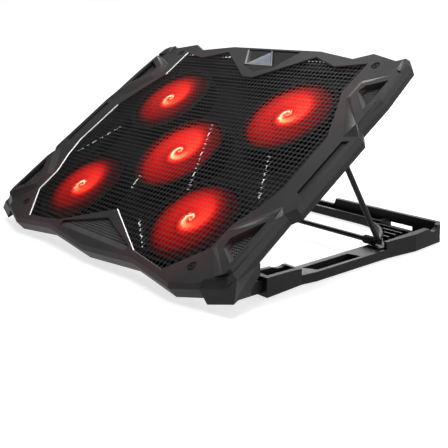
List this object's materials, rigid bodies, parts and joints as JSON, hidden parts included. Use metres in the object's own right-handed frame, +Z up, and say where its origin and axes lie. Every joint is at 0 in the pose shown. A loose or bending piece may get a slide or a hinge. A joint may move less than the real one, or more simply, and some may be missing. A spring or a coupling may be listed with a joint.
{
  "type": "laptop cooling pad",
  "caption": "Tilting laptop cooling pad: angular plastic bezel round a fine mesh deck over lit fans, hinged on a U-shaped base and propped by a wire bail.",
  "frame": {"origin": "on the table, under the middle of the pad's bounding box", "axes": "+X to the user's right along the hinge, +Y to the back, +Z up"},
  "size_m": [0.4006, 0.2896, 0.1793],
  "materials": {
    "bezel_plastic": "fine matte texture",
    "cover_plastic": "matte",
    "base_plastic": "satin",
    "mesh_steel": "black coated perforated sheet",
    "gloss_black": "piano gloss",
    "bright_chrome": "bright",
    "lens": "glossy silver-blue blank",
    "fan_frame_plastic": "satin",
    "lit_rotor": "translucent, lit red from the hub",
    "black_wire": "black coated steel",
    "zinc_steel": "zinc plated",
    "rubber": "matte",
    "board_green": "solder mask"
  },
  "bodies": {
    "base": {"base_frame": "base_plastic", "hinge_pin_left": "zinc_steel", "hinge_pin_right": "zinc_steel", "rubber_pad_front_left": "rubber", "rubber_pad_front_right": "rubber", "rubber_pad_rear_left": "rubber", "rubber_pad_rear_right": "rubber"},
    "deck": {"badge_inlay": "gloss_black", "badge_lens": "lens", "badge_rim": "bright_chrome", "bail_clip_left": "cover_plastic", "bail_clip_right": "cover_plastic", "bottom_cover": "cover_plastic", "deck_bezel": "bezel_plastic", "deck_screw_back_left": "black_wire", "deck_screw_back_right": "black_wire", "deck_screw_front_left": "black_wire", "deck_screw_front_right": "black_wire", "fan_frame_back_left": "fan_frame_plastic", "fan_frame_back_right": "fan_frame_plastic", "fan_frame_centre": "fan_frame_plastic", "fan_frame_front_left": "fan_frame_plastic", "fan_frame_front_right": "fan_frame_plastic", "front_window_mesh": "mesh_steel", "main_mesh": "mesh_steel", "power_board": "board_green", "side_mesh_back_left": "mesh_steel", "side_mesh_back_right": "mesh_steel", "side_mesh_front_left": "mesh_steel", "side_mesh_front_right": "mesh_steel", "switch_body": "gloss_black", "usb_socket_1": "zinc_steel", "usb_socket_2": "zinc_steel"},
    "bail": {"prop_bail": "black_wire", "foot_roller_left": "rubber", "foot_roller_right": "rubber"},
    "light_switch_knob": {"light_switch": "gloss_black"},
    "rotor_centre": {"fan_rotor_centre": "lit_rotor"},
    "rotor_front_left": {"fan_rotor_front_left": "lit_rotor"},
    "rotor_front_right": {"fan_rotor_front_right": "lit_rotor"},
    "rotor_back_left": {"fan_rotor_back_left": "lit_rotor"},
    "rotor_back_right": {"fan_rotor_back_right": "lit_rotor"}
  },
  "joints": [
    {"name": "deck_tilt", "type": "hinge", "parent": "base", "child": "deck", "pos_m": [0, -0.11215, 0.0116], "axis": [1, 0, 0], "range_deg": [-34, 0]},
    {"name": "bail_swing", "type": "hinge", "parent": "deck", "child": "bail", "pos_m": [0, 0.01372, 0.09771], "axis": [1, 0, 0], "range_deg": [0, 100.2]},
    {"name": "light_switch_slide", "type": "slide", "parent": "deck", "child": "light_switch_knob", "axis": [0, 0.829, 0.5592], "range_m": [0, 0.004]},
    {"name": "fan_spin_centre", "type": "hinge", "parent": "deck", "child": "rotor_centre", "pos_m": [0, -0.02543, 0.07974], "axis": [0, -0.5592, 0.829], "continuous": true},
    {"name": "fan_spin_front_left", "type": "hinge", "parent": "deck", "child": "rotor_front_left", "pos_m": [-0.093, -0.08288, 0.04099], "axis": [0, -0.5592, 0.829], "continuous": true},
    {"name": "fan_spin_front_right", "type": "hinge", "parent": "deck", "child": "rotor_front_right", "pos_m": [0.093, -0.08288, 0.04099], "axis": [0, -0.5592, 0.829], "continuous": true},
    {"name": "fan_spin_back_left", "type": "hinge", "parent": "deck", "child": "rotor_back_left", "pos_m": [-0.093, 0.03202, 0.1185], "axis": [0, -0.5592, 0.829], "continuous": true},
    {"name": "fan_spin_back_right", "type": "hinge", "parent": "deck", "child": "rotor_back_right", "pos_m": [0.093, 0.03202, 0.1185], "axis": [0, -0.5592, 0.829], "continuous": true}
  ],
  "couplings": [
    {"joint": "bail_swing", "follows": "deck_tilt", "ratio": -2.947}
  ]
}
